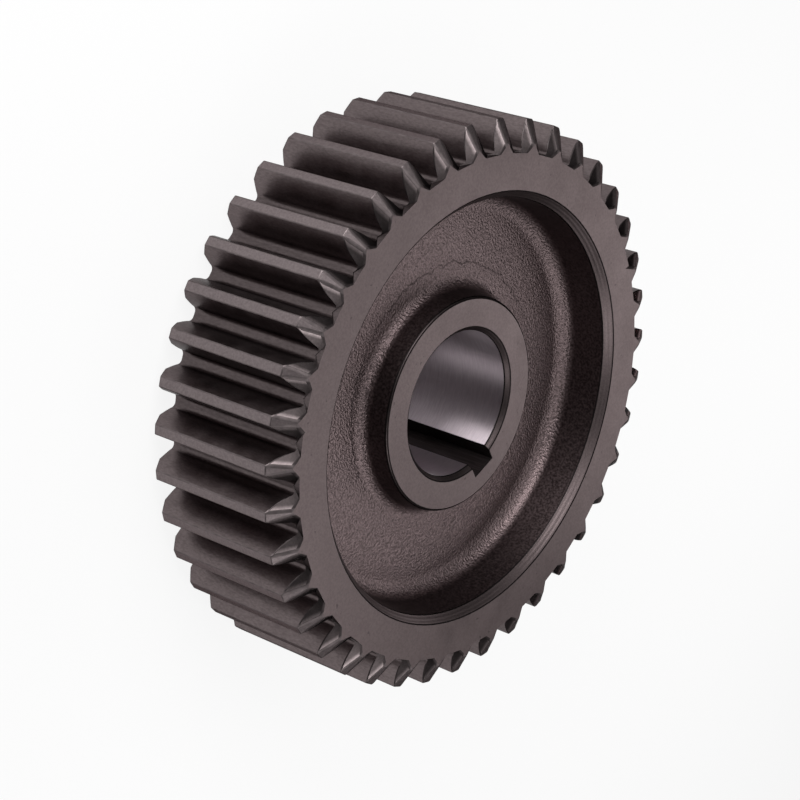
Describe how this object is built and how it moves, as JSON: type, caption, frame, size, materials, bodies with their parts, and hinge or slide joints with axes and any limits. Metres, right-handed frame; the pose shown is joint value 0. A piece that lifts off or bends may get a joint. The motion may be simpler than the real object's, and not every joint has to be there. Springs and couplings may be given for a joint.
{
  "type": "spur gear",
  "caption": "Forged one-piece spur gear with bevelled tooth ends, recessed web and a keyed bore; drives or is driven on a parallel shaft.",
  "frame": {"origin": "centre of the back face, on the bore's axis, where the gear rests", "axes": "+Z along the bore's axis towards the front face; +X from the axis through the keyway; +Y completes a right-handed frame"},
  "size_m": [0.2049, 0.2049, 0.058],
  "materials": {
    "forged_steel": "dark oiled steel: turned faces, milled teeth, as-forged web and ground bore"
  },
  "bodies": {
    "root": {"gear": "forged_steel"}
  },
  "joints": []
}
